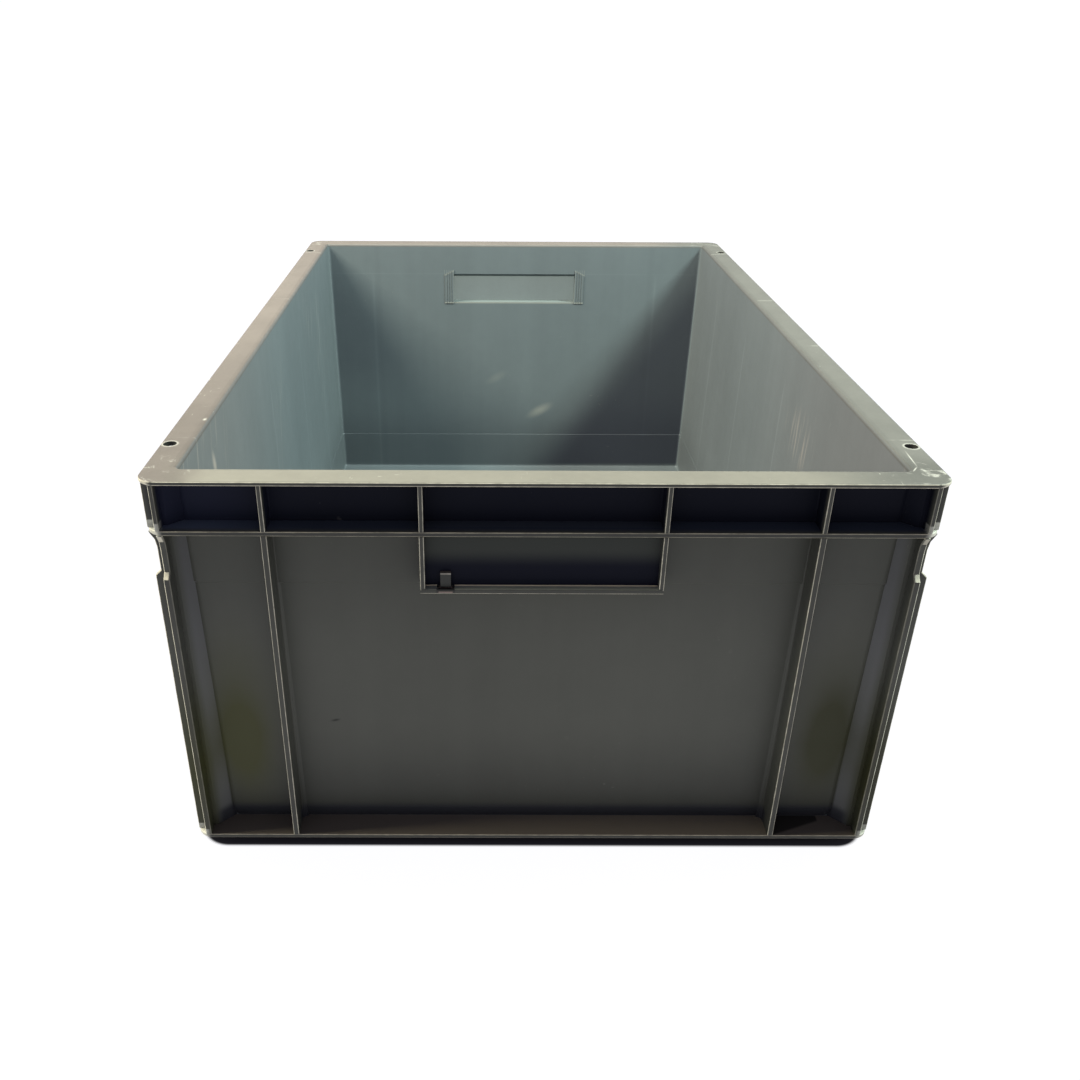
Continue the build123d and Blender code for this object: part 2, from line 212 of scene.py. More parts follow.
# ---- colours of the plastic, some of them painted light and shade ------------------------------------
# the outside is painted darker, as painted shade, and the inside and the recess paler, as painted light, on
# what is one plastic
OUTSIDE_SHADED = rgb(73, 74, 67)
INSIDE_LIT = rgb(95, 104, 106)
RECESS_LIT = rgb(104, 113, 111)
RIM_WARM = rgb(107, 100, 93)
RIM_FRONT = rgb(108, 105, 95)
RIM_RIGHT_SHADED = rgb(90, 90, 84)
WORN_EDGE_AND_HIGHLIGHT = rgb(186, 181, 162)
FLANGE_WEAR_AND_HIGHLIGHT = rgb(150, 145, 126)
EDGE_FACE_SHADE = rgb(50, 50, 46)
CORNER_WEAR_AND_HIGHLIGHT = rgb(190, 190, 177)
CELL_WALL_SHADE = rgb(14, 16, 27)
CELL_SHELF_SHADE = rgb(52, 58, 68)
POCKET_TOP_HALF_SHADE = rgb(52, 54, 51)
WEB_LIGHT = rgb(106, 107, 107)
OLIVE = rgb(58, 59, 30)
REAR_WALL_SHADOW = rgb(54, 58, 68)
DUST = rgb(88, 81, 70)
SHELF_TOP_LIGHT = rgb(108, 111, 100)
SHELF_LINE_HIGHLIGHT = rgb(240, 224, 182)
SCOOP_LIP = rgb(146, 126, 116)
TOE_SHADE = rgb(31, 32, 38)
SCUFF = rgb(170, 168, 158)
GLINT = rgb(160, 160, 148)
# the dark of a dent, and of painted shade in a rib's shadow and in the scoop below each post
DARK_DENT_AND_SHADE = rgb(22, 22, 20)
# painted light: these tints stand in for the colour of the lamps' light on the side walls
RIGHT_WALL_LIGHT_TINT = (0.98, 0.84, 0.82, 1)  # linear, and multiplied into the wall's colour
LEFT_WALL_LIGHT_TINT = (1.16, 1.0, 0.95, 1)


class Places:
    """Where a point of the plastic lies: lengths in metres, and masks, 1 in a region and 0 outside it."""

    def __init__(self, g):
        self.at = g.node("ShaderNodeTexCoord", "Object")
        self.x, self.y, self.z = g.split(self.at)
        self.ax, self.ay = g.magnitude(self.x), g.magnitude(self.y)
        self.right, self.left = g.smooth(self.x, 0.0, 100 * MM), g.smooth(self.x, 0.0, -100 * MM)
        self.rear, self.front = g.smooth(self.y, 0.0, 100 * MM), g.smooth(self.y, 0.0, -100 * MM)
        self.above_floor = g.smooth(self.z, CAVITY_FLOOR_Z, CAVITY_FLOOR_Z + 5 * MM)
        self.find_facing(g)
        self.find_cavity(g)
        self.find_rim_top(g)
        self.find_outside(g)
        self.find_grip_shelf(g)

    def find_facing(self, g):
        """Which way the surface faces, and how far it is tilted away from all three axes."""
        normal = g.split(g.node("ShaderNodeNewGeometry", "Normal"))
        to_side, to_end, upright = (g.magnitude(part) for part in normal)
        self.up = g.smooth(normal[2], 0.55, 0.9)
        self.faces_end = g.smooth(to_end, 0.80, 0.95)
        self.faces_side = g.smooth(to_side, 0.80, 0.95)
        self.tilt = g.invert(g.most(to_side, g.most(to_end, upright)))
        self.rounded = g.smooth(self.tilt, 0.01, 0.12)

    def find_cavity(self, g):
        """The inner walls and their recesses; past is the distance out from the drafted, rounded walls."""
        sunk = g.mul(g.sub(HEIGHT, self.z), DRAFT_SLOPE)
        past_x = g.add(self.ax, sunk, -CAVITY_X)
        self.past_y = g.sub(g.add(self.ay, sunk), CAVITY_Y)
        self.past = g.past_rounded(past_x, self.past_y, CAVITY_R)
        above_base = g.smooth(self.z, 2.4 * MM, 3.0 * MM)
        on_wall = g.mul(g.smooth(self.past, 1.4 * MM, 1.1 * MM), above_base)
        across = g.smooth(self.ax, GRIP_HALF_W + 1.0 * MM, GRIP_HALF_W + 0.6 * MM)
        opening = g.mul(g.between(self.z, *RECESS_Z, 0.4 * MM), across)
        in_wall = g.mul(g.smooth(self.past_y, 0.6 * MM, 1.2 * MM), g.smooth(self.past_y, 10 * MM, 9.4 * MM))
        self.recess = g.mul(opening, in_wall)
        self.inside = g.most(on_wall, self.recess)
        self.outside = g.invert(self.inside)

    def find_rim_top(self, g):
        """The rim's top, and the rounded lip where it turns down into the cavity."""
        self.top = g.mul(self.up, g.smooth(self.z, HEIGHT - 3 * MM, HEIGHT - 1.5 * MM))
        self.below_top = g.invert(self.top)
        high = g.smooth(self.z, HEIGHT - 2.8 * MM, HEIGHT - 1.6 * MM)
        self.lip = g.mul(self.inside, self.below_top, high)

    def find_outside(self, g):
        """Band, grip pocket, panels and flanges; depth is the distance in from the free edges' outline."""
        self.depth = g.least(g.sub(EDGE_X, self.ax), g.sub(EDGE_Y, self.ay))
        deep = g.smooth(self.depth, 0.5 * MM, 6.0 * MM)
        in_band = g.smooth(self.z, BAND_LINE_Z - 0.3 * MM, BAND_LINE_Z + 0.2 * MM)
        self.band = g.mul(self.outside, in_band, self.below_top, deep)

        across = g.smooth(self.ax, GRIP_HALF_W + 0.3 * MM, GRIP_HALF_W - 0.2 * MM)
        above_shelf = g.smooth(self.z, SHELF_Z - 1 * MM, SHELF_Z + 0.2 * MM)
        below_band = g.smooth(self.z, BAND_LINE_Z, BAND_LINE_Z - 1 * MM)
        at_end = g.smooth(self.ay, CAVITY_Y - 2 * MM, CAVITY_Y)
        self.pocket = g.mul(self.outside, across, above_shelf, at_end, below_band, deep)

        self.panel = g.mul(self.outside, g.smooth(self.depth, 8.0 * MM, 12.0 * MM))
        band_flange = g.ridge(self.z, BAND_FLANGE_Z, FLANGE_HALF_T)
        base_flange = g.ridge(self.z, BASE_FLANGE_Z, FLANGE_HALF_T)
        self.flange = g.mul(g.smooth(g.most(band_flange, base_flange), 0.0, 0.1), self.outside)

    def find_grip_shelf(self, g):
        """The shelf below each grip, seen from above and outside, and how far a point is from its post."""
        turned_x = g.mul(self.x, g.math("SIGN", g.mul(self.y, -1.0)))
        self.post_side = g.magnitude(g.sub(turned_x, POST_X))
        across = g.smooth(self.ax, GRIP_HALF_W + 2.4 * MM, GRIP_HALF_W + 1.6 * MM)
        height = g.between(self.z, SHELF_Z - 4.5 * MM, SHELF_Z + 0.6 * MM, 0.3 * MM)
        outer = g.smooth(self.ay, PANEL_Y - 0.6 * MM, PANEL_Y)
        self.shelf = g.mul(self.outside, across, height, outer)


def plastic_tone(g, p):
    """Broad drift, upright flow streaks and fine mottle, as one number about 1."""
    drift = g.sub(g.noise(p.at, 5.0, 3.0), 0.5)
    streaks = g.sub(g.stretched_noise(p.at, (60.0, 60.0, 2.5), 4.0, 0.6), 0.5)
    bands = g.sub(g.stretched_noise(p.at, (16.0, 16.0, 0.8), 2.0), 0.5)
    mottle = g.sub(g.noise(p.at, 90.0, 4.0, 0.6), 0.5)
    return g.add(1.0, g.mul(drift, 0.22), g.mul(streaks, 0.16), g.mul(bands, 0.20), g.mul(mottle, 0.10))


# ---- layers of the plastic's colour: each takes the colour so far and returns the next one --------------
def outer_shade(g, p, base):
    """Painted shade: darker outside towards the foot and the band; the corners' diagonal webs are painted a
    little paler, as painted light.
    """
    low = g.smooth(p.z, 14 * MM, 85 * MM)
    high = g.smooth(p.z, 115 * MM, 200 * MM)
    tone = g.add(0.52, g.mul(low, 0.48), g.mul(high, -0.30))
    base = g.mix(p.outside, base, g.scaled(base, tone))

    below_band = g.smooth(p.z, BAND_LINE_Z, BAND_LINE_Z - 3 * MM)
    at_corner = g.smooth(p.ax, 180 * MM, 181 * MM)
    # painted light: the slanting webs are paler than the panels beside them
    web = g.mul(p.panel, g.smooth(p.tilt, 0.2, 0.27), below_band, at_corner)
    web_tone = g.sub(g.add(0.7, g.mul(low, 0.3)), g.mul(g.smooth(p.z, 60 * MM, 200 * MM), 0.5))
    return g.mix(g.mul(web, 0.8), base, g.scaled(WEB_LIGHT, web_tone))


def olive_patches(g, p, base):
    """Olive patches low on the end panels near the corners, weaker on the right."""
    at_end = g.smooth(p.ay, CAVITY_Y - 5 * MM, CAVITY_Y - 3 * MM)
    wide = g.spot(p.ax, p.z, (167 * MM, 76 * MM), (33 * MM, 86 * MM))
    core = g.spot(p.ax, p.z, (169 * MM, 66 * MM), (22 * MM, 48 * MM))
    foot = g.spot(p.ax, p.z, (194 * MM, 50 * MM), (14 * MM, 85 * MM))
    patchy = g.add(0.75, g.mul(g.noise(p.at, 30.0), 0.5))
    olive_patch = g.add(g.mul(wide, 0.75), g.mul(core, 0.75), g.mul(foot, 0.95))
    olive_patch = g.mul(olive_patch, patchy, p.outside, at_end)
    return g.mix(olive_patch, base, g.scaled(OLIVE, g.add(1.0, g.mul(p.right, -0.45))))


def base_ledge(g, p, base):
    """Shade above the base flange and dust on it, with a painted shadow of a rib behind a slanting line at
    the front right.
    """
    toe = g.mul(p.panel, g.smooth(p.z, 21 * MM, 15 * MM), g.invert(p.up))
    base = g.mix(g.mul(toe, 0.85), base, TOE_SHADE)
    ledge = g.mul(p.up, p.outside, g.smooth(p.z, 14 * MM, 9 * MM))
    base = g.mix(g.mul(ledge, 0.9), base, DUST)
    # painted shadow cast by the rib at the front right onto the dusty ledge
    line_depth = g.mul(g.sub(p.x, 141 * MM), 0.41)
    behind = g.smooth(g.sub(p.depth, line_depth), -0.8 * MM, 1.4 * MM)
    rib_shadow = g.mul(ledge, behind, g.between(p.x, 140 * MM, 172 * MM, 1.0 * MM), p.front)
    return g.mix(g.mul(rib_shadow, 0.85), base, DARK_DENT_AND_SHADE)


def painted_shade_cells(g, p, base):
    """Painted shade in the cells of the band, paler at its left end, and in the grip's pocket, paler at its
    top, with its dusty shelf.
    """
    left_end = g.smooth(p.x, -110 * MM, -180 * MM)
    # painted shade: near black on the cells' walls, less on their shelves, less again at the band's left end
    cell_shade = g.scaled(g.mix(p.up, CELL_WALL_SHADE, CELL_SHELF_SHADE), g.add(1.0, g.mul(left_end, 1.3)))
    base = g.mix(g.mul(p.band, 0.95), base, cell_shade)
    upper = g.mul(g.smooth(p.z, 185 * MM, 196 * MM), g.smooth(p.ay, CAVITY_Y + 9 * MM, CAVITY_Y + 10 * MM))
    pocket = g.mix(upper, cell_shade, POCKET_TOP_HALF_SHADE)
    return g.mix(p.pocket, base, g.mix(p.up, pocket, DUST))


def grip_shelf(g, p, base):
    """The shelf's top painted lighter, as painted light, with a painted highlight along its back edge, and
    painted shade in the scoop below the post, with its pale lip.
    """
    flat = g.mul(p.shelf, p.up)
    base = g.mix(flat, base, SHELF_TOP_LIGHT)
    base = g.mix(g.mul(flat, g.ridge(p.ay, PANEL_Y + 0.7 * MM, 1.1 * MM)), base, SHELF_LINE_HIGHLIGHT)
    # painted shade in the scoop under the post
    flare = g.add(p.post_side, g.mul(p.depth, 0.31))
    below_line = g.smooth(p.z, SHELF_Z - 2.1 * MM, SHELF_Z - 1.8 * MM)
    scoop_shade = g.mul(p.shelf, g.smooth(flare, 5.2 * MM, 4.4 * MM), below_line)
    lip_height = g.smooth(p.z, SHELF_Z - 1.0 * MM, SHELF_Z - 1.3 * MM)
    lip = g.mul(lip_height, g.smooth(p.post_side, 4.0 * MM, 3.2 * MM))
    return g.mix(scoop_shade, base, g.mix(lip, DARK_DENT_AND_SHADE, SCOOP_LIP))


def dent(g, p, base):
    """A small dark dent on the left of the front end."""
    spot = g.spot(p.x, p.z, (-114 * MM, 81 * MM), (4 * MM, 1.3 * MM), 12)
    return g.mix(g.mul(spot, p.outside, p.front, 0.9), base, DARK_DENT_AND_SHADE)


def inner_lines(g, p, base):
    """Inner walls: sinks at the end ribs, flow lines, the mould's witness line, the kick's small step as a
    darker line with painted highlights in places, and a foot darkened as painted shade.
    """
    sinks = g.mul(g.ridge(p.ax, END_RIB_X, 2.2 * MM), p.faces_end)
    for places, side in ((FLOW_LINES_LEFT, p.left), (FLOW_LINES_RIGHT, p.right)):
        wall = g.mul(p.faces_side, side)
        for place in places:
            sinks = g.most(sinks, g.mul(g.ridge(p.y, place, 1.7 * MM), wall, 2.2))
    sinks = g.mul(sinks, g.smooth(p.z, 212 * MM, 190 * MM))
    beside = g.mul(g.ridge(g.sub(p.ax, END_RIB_X), -5 * MM, 5 * MM), p.faces_end)
    witness = g.mul(g.ridge(p.z, BAND_LINE_Z, 1.0 * MM), p.faces_end, g.smooth(p.ax, 68 * MM, 72 * MM))
    witness = g.mul(witness, g.smooth(g.noise(p.at, 9.0), 0.35, 0.6))
    step = g.between(p.z, KICK_Z - 0.5 * MM, KICK_Z + 1.1 * MM, 0.4 * MM)
    rubbed = g.smooth(g.noise(p.at, 16.0, 2.0), 0.52, 0.7)
    # painted highlights in places along the kick's small step
    kick = g.mul(step, g.sub(g.mul(rubbed, 0.4), 0.12))
    # painted shade towards the foot of the inner walls
    foot = g.mul(g.smooth(p.z, 75 * MM, 25 * MM), p.above_floor)
    lines = g.add(g.mul(sinks, 0.11), g.mul(beside, -0.05), g.mul(witness, 0.10), kick)
    return g.mix(p.inside, base, g.scaled(base, g.add(1.0, lines, g.mul(foot, -0.20))))


def drag_marks(g, p, base):
    """Long walls, where goods were dragged past; a worn patch on the right one and a spot on the left."""
    along = g.stretched_noise(p.at, (20.0, 260.0, 14.0), 3.0, 0.6, (18.0, 0.0, 0.0))
    rubbed = g.mul(g.smooth(g.noise(p.at, 7.0, 2.0), 0.47, 0.62), g.smooth(p.z, 70 * MM, 150 * MM))
    drags = g.mul(rubbed, g.smooth(along, 0.55, 0.72), 0.26)
    grain = g.stretched_noise(p.at, (20.0, 330.0, 22.0), 2.0, 0.5)
    patch = g.mul(g.spot(p.y, p.z, (-104 * MM, 182 * MM), (46 * MM, 26 * MM)), g.smooth(grain, 0.48, 0.66))
    spot = g.spot(p.y, p.z, (-215 * MM, 209 * MM), (5 * MM, 11 * MM), 8)
    marks = g.add(drags, g.mul(patch, p.right, 0.34), g.mul(spot, p.left, 0.5))
    return g.mix(g.mul(marks, p.inside, p.faces_side), base, SCUFF)


def painted_wall_shadows(g, p, base):
    """Grey painted shadows on the rear wall, below lines that fall inwards from the rim's ends as the side
    walls would cast them, and painted shade along its foot.
    """
    wall = g.mul(p.inside, p.faces_end, p.rear, p.above_floor)
    fallen = g.sub(HEIGHT, p.z)
    right = g.smooth(g.add(p.x, -CAVITY_X, g.mul(fallen, 1 / 1.35)), -8 * MM, 45 * MM)
    left = g.smooth(g.sub(g.mul(fallen, 1 / 1.15), g.add(p.x, CAVITY_X)), -8 * MM, 45 * MM)
    left = g.mul(left, g.smooth(p.x, -60 * MM, -170 * MM), g.smooth(p.z, 60 * MM, 130 * MM))
    foot = g.smooth(p.z, 100 * MM, 40 * MM)
    shadow_share = g.add(g.mul(right, 0.74), g.mul(left, 0.34), g.mul(foot, 0.14))
    return g.mix(g.mul(wall, shadow_share), base, REAR_WALL_SHADOW)


def painted_wall_light_tint(g, p, base):
    """Painted tint of the lamps' light: the right wall is warmer than the left, and both are warmer towards
    the front.
    """
    near = g.smooth(p.y, 50 * MM, -250 * MM)
    wall = g.mul(p.inside, p.faces_side, g.smooth(p.z, CAVITY_FLOOR_Z, CAVITY_FLOOR_Z + 8 * MM))
    right = g.mul(wall, p.right, g.add(0.45, g.mul(near, 0.55)))
    base = g.mix(right, base, RIGHT_WALL_LIGHT_TINT, "MULTIPLY")
    return g.mix(g.mul(wall, p.left, near), base, LEFT_WALL_LIGHT_TINT, "MULTIPLY")


def recess_edges(g, p, base):
    """Painted highlights on the fine upright grooves and the sloping top edge of the pads beside the recess,
    and a pale painted highlight along its sill.
    """
    pad = g.mul(p.inside, p.faces_end, g.between(p.ax, GRIP_HALF_W - 0.5 * MM, PAD_OUTER_X, 0.5 * MM))
    pad = g.mul(pad, g.between(p.z, RECESS_Z[0] - 0.4 * MM, PAD_TOP_Z, 0.5 * MM))
    groove_side = g.math("PINGPONG", g.sub(p.ax, GRIP_HALF_W + 0.4 * MM), 1.1 * MM)
    grooves = g.ridge(groove_side, 0.0, 0.5 * MM)
    sloping_top = g.ridge(g.add(p.z, g.mul(p.ax, PAD_TOP_SLOPE)), PAD_TOP_MIDDLE_Z, 1.1 * MM)
    lines = g.add(g.mul(grooves, 0.22), g.mul(sloping_top, 0.32))

    # painted highlight along the recess's sill
    sill = g.mul(g.ridge(p.z, RECESS_Z[0] + 0.5 * MM, 1.1 * MM), p.inside)
    sill = g.mul(sill, g.smooth(p.ax, PAD_OUTER_X - 0.4 * MM, PAD_OUTER_X - 1.0 * MM))
    at_end = g.smooth(p.ay, CAVITY_Y - 6 * MM, CAVITY_Y - 4 * MM)
    sill = g.mul(sill, g.smooth(p.past_y, 0.6 * MM, 0.2 * MM), at_end)
    return g.mix(g.most(g.mul(pad, lines), g.mul(sill, 0.6)), base, GLINT)


def dull_glints(g, p, base):
    """Two slanting, dull glints on the rear wall."""
    strong = g.spot(p.x, p.z, (29 * MM, 67 * MM), (19 * MM, 7 * MM), 29)
    faint = g.spot(p.x, p.z, (-17 * MM, 102 * MM), (16 * MM, 6 * MM), 30)
    glints = g.add(g.mul(strong, 0.42), g.mul(faint, 0.14))
    return g.mix(g.mul(glints, p.inside, p.faces_end, p.rear), base, GLINT)


def worn_and_highlit_edges(g, p, base):
    """Free edges of ribs and flanges, pale partly from polishing by handling and partly as painted
    highlights, palest on the flanges' corners; their narrow flat faces are darkened as painted shade.
    """
    zone = g.mul(g.smooth(p.depth, 5.0 * MM, 4.6 * MM), p.outside, p.below_top)
    patchy = g.add(0.55, g.mul(g.smooth(g.noise(p.at, 120.0, 4.0, 0.7), 0.35, 0.65), 0.45))
    # painted shade on the narrow flat faces of the free edges
    face = g.mul(zone, g.smooth(p.depth, 0.5 * MM, 0.1 * MM), g.add(0.45, g.mul(p.flange, 0.5)))
    base = g.mix(face, base, EDGE_FACE_SHADE)

    # the shelf's upper front edge and the inner edges of the corner ribs get hardly any of that pale wear and
    # painted highlight
    shelf_edge = g.mul(p.shelf, g.smooth(p.z, SHELF_Z - 1.2 * MM, SHELF_Z - 0.8 * MM))
    corner_rib = g.least(p.ax, g.sub(p.ay, HALF_L - HALF_W))
    in_band = g.smooth(p.z, BAND_LINE_Z - 1 * MM, BAND_LINE_Z + 1 * MM)
    inner_edge = g.ridge(g.sub(corner_rib, g.mul(in_band, CORNER_RIB_STEP)), CORNER_RIB_INNER, 0.9 * MM)
    inner_edge = g.mul(inner_edge, g.invert(p.flange), 0.8)
    worn_and_highlit = g.mul(zone, p.rounded, patchy, g.invert(shelf_edge), g.invert(inner_edge))
    base = g.mix(worn_and_highlit, base, g.mix(p.flange, WORN_EDGE_AND_HIGHLIGHT, FLANGE_WEAR_AND_HIGHLIGHT))

    # the flanges' corners, pale from knocks and as painted highlights
    corner_x = g.smooth(p.ax, EDGE_X - 9 * MM, EDGE_X - 5 * MM)
    corner_y = g.smooth(p.ay, EDGE_Y - 9 * MM, EDGE_Y - 5 * MM)
    band_corner = g.ridge(p.z, BAND_FLANGE_Z + 2.0 * MM, 4.4 * MM)
    base_corner = g.ridge(p.z, BASE_FLANGE_Z + 1.5 * MM, 4.4 * MM)
    knocked_and_highlit = g.mul(corner_x, corner_y, g.smooth(g.most(band_corner, base_corner), 0.0, 0.15))
    knocked_and_highlit = g.mul(knocked_and_highlit, g.smooth(p.depth, 6.0 * MM, 4.0 * MM))
    return g.mix(g.mul(knocked_and_highlit, patchy, 0.8), base, CORNER_WEAR_AND_HIGHLIGHT)


def rim_top(g, p, base):
    """The rim's top, rubbed pale, warmer on the left and greener on the right, darkened towards the front and
    on the right as painted shade; darker also on its inner lip and along the inner edge of its long sides.
    """
    front = g.mul(g.smooth(p.y, CAVITY_Y * -0.9, -CAVITY_Y), g.smooth(p.x, -196 * MM, -160 * MM))
    right = g.smooth(p.x, 120 * MM, CAVITY_X)
    left = g.smooth(p.x, -165 * MM, -CAVITY_X)
    rim = g.mix(front, RIM_WARM, RIM_FRONT)
    rim = g.mix(g.mul(right, 0.9), rim, RIM_RIGHT_SHADED)
    # painted shade: the rim darkens towards the front, on the right, and on the left towards the front
    front_shade = g.add(g.mul(g.smooth(p.x, -110 * MM, 10 * MM), 0.09), g.mul(right, 0.12))
    side_shade = g.add(g.mul(left, 0.29), g.mul(right, 0.10))
    shade = g.add(g.mul(front, front_shade), g.mul(g.smooth(p.y, 100 * MM, -HALF_L), side_shade))
    rim = g.scaled(rim, g.invert(shade))
    blotches = g.sub(g.noise(p.at, 26.0, 4.0, 0.6), 0.5)
    specks = g.sub(g.noise(p.at, 240.0, 3.0), 0.5)
    rim = g.scaled(rim, g.add(1.0, g.mul(blotches, 0.35), g.mul(specks, 0.15)))
    base = g.mix(p.top, base, rim)

    inner_rim = g.scaled(rim, 0.80)
    base = g.mix(g.mul(p.lip, 0.75), base, inner_rim)
    on_long_side = g.smooth(p.ay, CAVITY_Y + 1 * MM, CAVITY_Y - 3 * MM)
    inner = g.mul(p.top, g.smooth(p.past, 4.6 * MM, 3.4 * MM), on_long_side)
    return g.mix(g.mul(inner, 0.55), base, inner_rim)


def rim_holes(g, p, base):
    """A pale ring round each hole of the rim, and painted shade in its bore; that painted shade also marks
    the flanges below.
    """
    from_hole = g.length(g.sub(p.ax, HOLE_X), g.sub(p.ay, HOLE_Y))
    ring = g.mul(p.top, g.ridge(from_hole, HOLE_R + 0.5 * MM, 1.1 * MM))
    base = g.mix(g.mul(ring, 0.45), base, SCUFF)
    bore_shade = g.mul(g.smooth(from_hole, HOLE_R + 0.4 * MM, HOLE_R + 0.1 * MM), p.below_top)
    return g.mix(bore_shade, base, EDGE_FACE_SHADE)


def rim_marks(g, p, base):
    """Short witness lines across the rim, knocks round its corners, a pale crack and a chip."""
    across = g.ridge(g.magnitude(g.sub(p.ay, 152 * MM)), 89 * MM, 1.1 * MM)
    broken = g.smooth(g.noise(p.at, 60.0, 2.0), 0.42, 0.6)
    across = g.mul(across, broken, g.smooth(p.ax, 181 * MM, 184 * MM))
    corner = g.mul(g.smooth(p.ax, 165 * MM, 190 * MM), g.smooth(p.ay, 262 * MM, 285 * MM))
    knocks = g.mul(corner, g.smooth(g.noise(p.at, 95.0, 5.0, 0.7, 0.8), 0.56, 0.66))
    crack = g.most(
        g.spot(p.x, p.y, (188.6 * MM, -267 * MM), (0.6 * MM, 14 * MM), -4),
        g.spot(p.x, p.y, (185.6 * MM, -281 * MM), (0.6 * MM, 5 * MM), -34),
    )
    chip = g.spot(p.x, p.y, (-185.5 * MM, -213 * MM), (1.6 * MM, 2.6 * MM))
    marks = g.add(g.mul(across, 0.45), g.mul(knocks, 0.55), g.mul(g.most(crack, chip), 0.7))
    return g.mix(g.mul(marks, p.top), base, SCUFF)


def fine_scuffs(g, p, base):
    """Fine scuffs everywhere, most on the rim."""
    fine_a = g.stretched_noise(p.at, (900.0, 130.0, 500.0), 2.0)
    fine_b = g.stretched_noise(p.at, (140.0, 800.0, 160.0), 2.0)
    rubbed = g.smooth(g.noise(p.at, 14.0, 3.0), 0.52, 0.68)
    scuffs = g.mul(g.most(g.smooth(fine_a, 0.70, 0.76), g.smooth(fine_b, 0.70, 0.76)), rubbed)
    share = g.add(0.06, g.mul(p.top, 0.5), g.mul(p.inside, 0.1))
    return g.mix(g.mul(scuffs, share), base, SCUFF)


LAYERS = (
    outer_shade,
    olive_patches,
    base_ledge,
    painted_shade_cells,
    grip_shelf,
    dent,
    inner_lines,
    drag_marks,
    painted_wall_shadows,
    painted_wall_light_tint,
    recess_edges,
    dull_glints,
    worn_and_highlit_edges,
    rim_top,
    rim_holes,
    rim_marks,
    fine_scuffs,
)


def fine_relief(g, p):
    """The mould's grain and the flow streaks, as a bent normal."""
    height = g.add(
        g.mul(g.noise(p.at, 1400.0, 2.0, 0.6), 0.03 * MM),
        g.mul(g.noise(p.at, 160.0, 2.0, 0.5), 0.10 * MM),
        g.mul(g.stretched_noise(p.at, (60.0, 60.0, 2.5), 4.0, 0.6), 0.12 * MM),
    )
    return g.node("ShaderNodeBump", inputs={"Strength": 0.55, "Distance": 1.0, "Height": height})


def crate_plastic():
    """Injection-moulded polypropylene: satin, with flow marks, sink lines, edges pale from wear, and dust,
    and with painted light and shade: shadows, highlights and glints.
    """
    material = bpy.data.materials.new("crate_plastic")
    g = Graph(material)
    p = Places(g)
    # painted shade outside, painted light inside and in the recess
    base = g.mix(p.inside, OUTSIDE_SHADED, g.mix(p.recess, INSIDE_LIT, RECESS_LIT))
    base = g.scaled(base, plastic_tone(g, p))
    for layer in LAYERS:
        base = layer(g, p, base)

    uneven = g.noise(p.at, 35.0, 4.0, 0.6)
    dark = g.most(p.band, p.pocket)
    inputs = {
        "Base Color": base,
        "Roughness": g.add(0.38, g.mul(uneven, 0.18), g.mul(p.top, 0.08), g.mul(p.inside, 0.06)),
        "Normal": fine_relief(g, p),
        "IOR": 1.49,
        "Specular IOR Level": g.add(0.22, g.mul(p.inside, 0.16), g.mul(dark, -0.18)),
    }
    g.finish("ShaderNodeBsdfPrincipled", inputs)
    return material


def dress_nodes():
    """Every CAD node gets the crate's plastic."""
    plastic = crate_plastic()
    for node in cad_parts.values():
        node.data.materials.clear()
        node.data.materials.append(plastic)


# ---- studio -------------------------------------------------------------------------------------------
FLOOR_HALF = 20.0
FLOOR_GLOW = 0.88
FLOOR_TONES = (0.56, 0.56, 0.54, 1), (0.60, 0.60, 0.58, 1)
# painted contact shadow on the floor under the crate
FOOT_SHADE = rgb(72, 71, 74)  # floor under the crate
FOOT_R = 18 * MM
WHITE = (1.0, 1.0, 1.0, 1)
OVERHEAD_SKY = (0.25, 0.25, 0.37, 1)


def floor_material():
    """A pale floor that glows a little, like a light table, with a painted contact shadow only where the
    crate covers it.
    """
    material = bpy.data.materials.new("studio_floor")
    material.cycles.emission_sampling = "NONE"
    g = Graph(material)
    place = g.node("ShaderNodeTexCoord", "Object")
    x, y, _ = g.split(place)
    past = g.past_rounded(g.sub(g.magnitude(x), EDGE_X), g.sub(g.magnitude(y), EDGE_Y), FOOT_R)
    clear = g.smooth(past, -1.5 * MM, 1.0 * MM)
    inputs = {
        "Base Color": g.mix(clear, FOOT_SHADE, g.mix(g.noise(place, 3.0), *FLOOR_TONES)),
        "Roughness": 0.9,
        "Specular IOR Level": 0.1,
        "Emission Color": WHITE,
        "Emission Strength": g.mul(clear, FLOOR_GLOW),
    }
    g.finish("ShaderNodeBsdfPrincipled", inputs)
    return material


def studio_floor():
    mesh = bpy.data.meshes.new("floor")
    corners = [(x * FLOOR_HALF, y * FLOOR_HALF, 0) for x, y in ((-1, -1), (1, -1), (1, 1), (-1, 1))]
    mesh.from_pydata(corners, [], [(0, 1, 2, 3)])
    mesh.materials.append(floor_material())
    floor = bpy.data.objects.new("floor", mesh)
    bpy.context.scene.collection.objects.link(floor)
    return floor


def sky():
    """White all round the horizon, dimmer overhead."""
    world = bpy.data.worlds.new("studio")
    bpy.context.scene.world = world
    g = Graph(world)
    _, _, z = g.split(g.node("ShaderNodeTexCoord", "Generated"))
    colour = g.mix(g.smooth(z, 0.08, 0.5), WHITE, OVERHEAD_SKY)
    g.finish("ShaderNodeBackground", {"Color": colour, "Strength": 1.02}, "ShaderNodeOutputWorld")


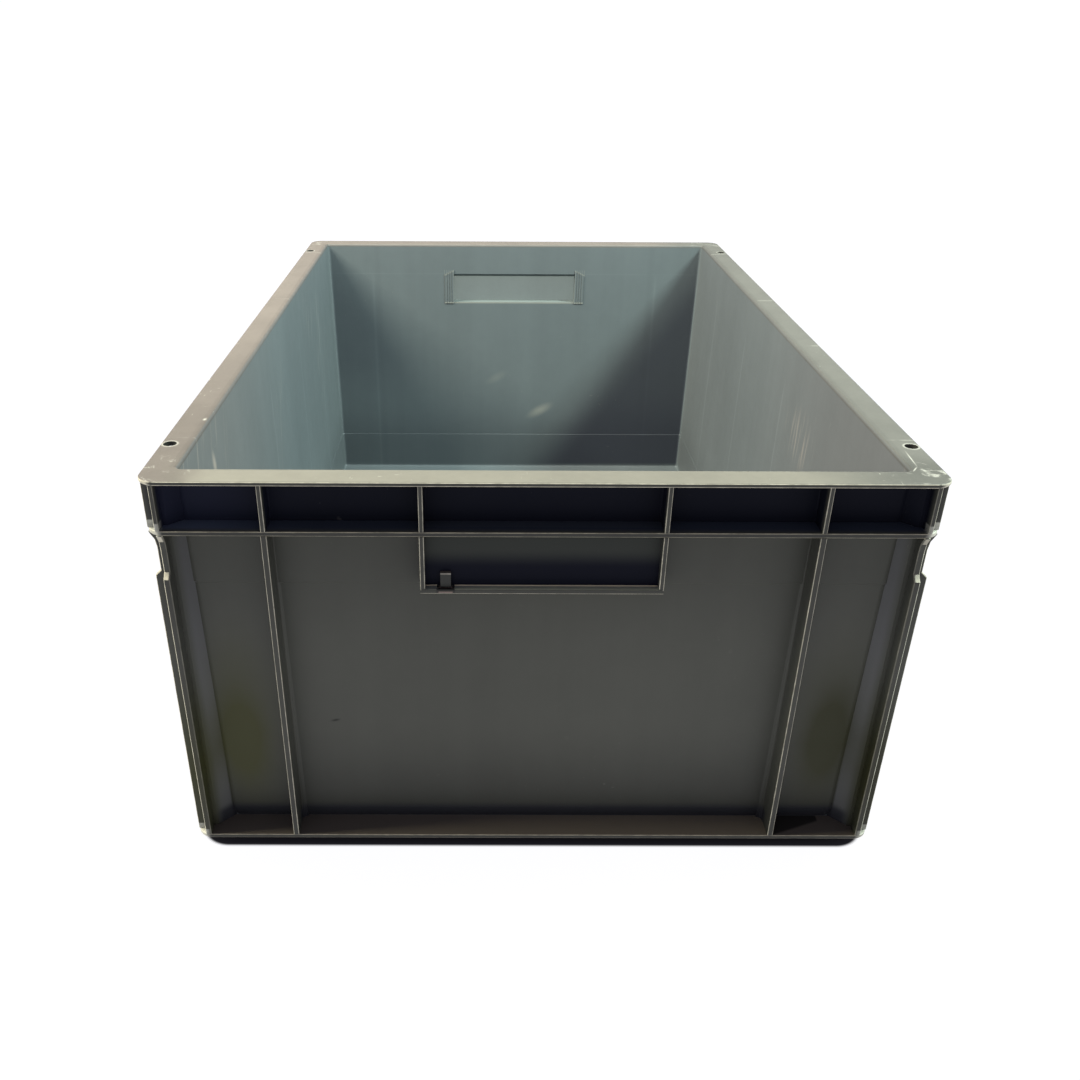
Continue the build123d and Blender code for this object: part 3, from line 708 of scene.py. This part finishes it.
def area_light(name, place, target, size, watts, colour, linked):
    """A soft lamp; linked holds the objects that it lights, or the ones it spares where they are excluded."""
    data = bpy.data.lights.new(name, "AREA")
    data.shape = "RECTANGLE"
    data.size, data.size_y = size
    data.energy, data.color = watts, colour
    lamp = bpy.data.objects.new(name, data)
    lamp.location = place
    lamp.rotation_mode = "QUATERNION"
    lamp.rotation_quaternion = (Vector(target) - Vector(place)).to_track_quat("-Z", "Y")
    lamp.light_linking.receiver_collection = linked
    bpy.context.scene.collection.objects.link(lamp)


def main_lamps(floor):
    """One lamp high on each side and a wide one overhead, so that the crate's ends stay in half shade."""
    spared = bpy.data.collections.new("spared_by_lamps")
    for left_out in (floor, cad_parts["grip_panel_front"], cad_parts["grip_panel_rear"]):
        spared.objects.link(left_out)
    for entry in spared.collection_objects:
        entry.light_linking.link_state = "EXCLUDE"
    inside = (0, 0.1, 0.1)
    area_light("right_key", (0.90, -0.12, 1.20), inside, (0.26, 0.30), 38, (0.83, 0.97, 0.90), spared)
    area_light("left_key", (-1.02, -0.12, 1.20), inside, (0.60, 0.60), 49, (0.99, 0.95, 0.80), spared)
    area_light("overhead", (0, 0.05, 1.7), (0, 0.05, 0), (1.2, 0.7), 8, (1.0, 0.98, 0.95), spared)


def recess_lamps():
    """A small lamp beyond each end, low, for the back of the recess that faces it and nothing else."""
    for facing, side in (("grip_panel_rear", -1), ("grip_panel_front", 1)):
        lit = bpy.data.collections.new(f"lit_{facing}")
        lit.objects.link(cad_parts[facing])
        place, target = (0, side * 0.95, 0.52), (0, -side * HALF_L, 0.19)
        area_light(f"{facing}_lamp", place, target, (0.12, 0.08), 17.0, (0.98, 1.0, 0.94), lit)


def camera():
    """Close to the front end and a little above the rim."""
    data = bpy.data.cameras.new("camera")
    data.sensor_width, data.lens = 36.0, 34.363
    data.shift_x, data.shift_y = 0.0500, 0.0434
    cam = bpy.data.objects.new("camera", data)
    cam.location = (-0.03054, -0.75965, 0.43393)
    cam.rotation_euler = (radians(60.833), radians(-0.255), radians(-0.075))
    bpy.context.scene.collection.objects.link(cam)
    bpy.context.scene.camera = cam


dress_nodes()
main_lamps(studio_floor())
recess_lamps()
sky()
camera()
bpy.context.scene.view_settings.view_transform = "Standard"
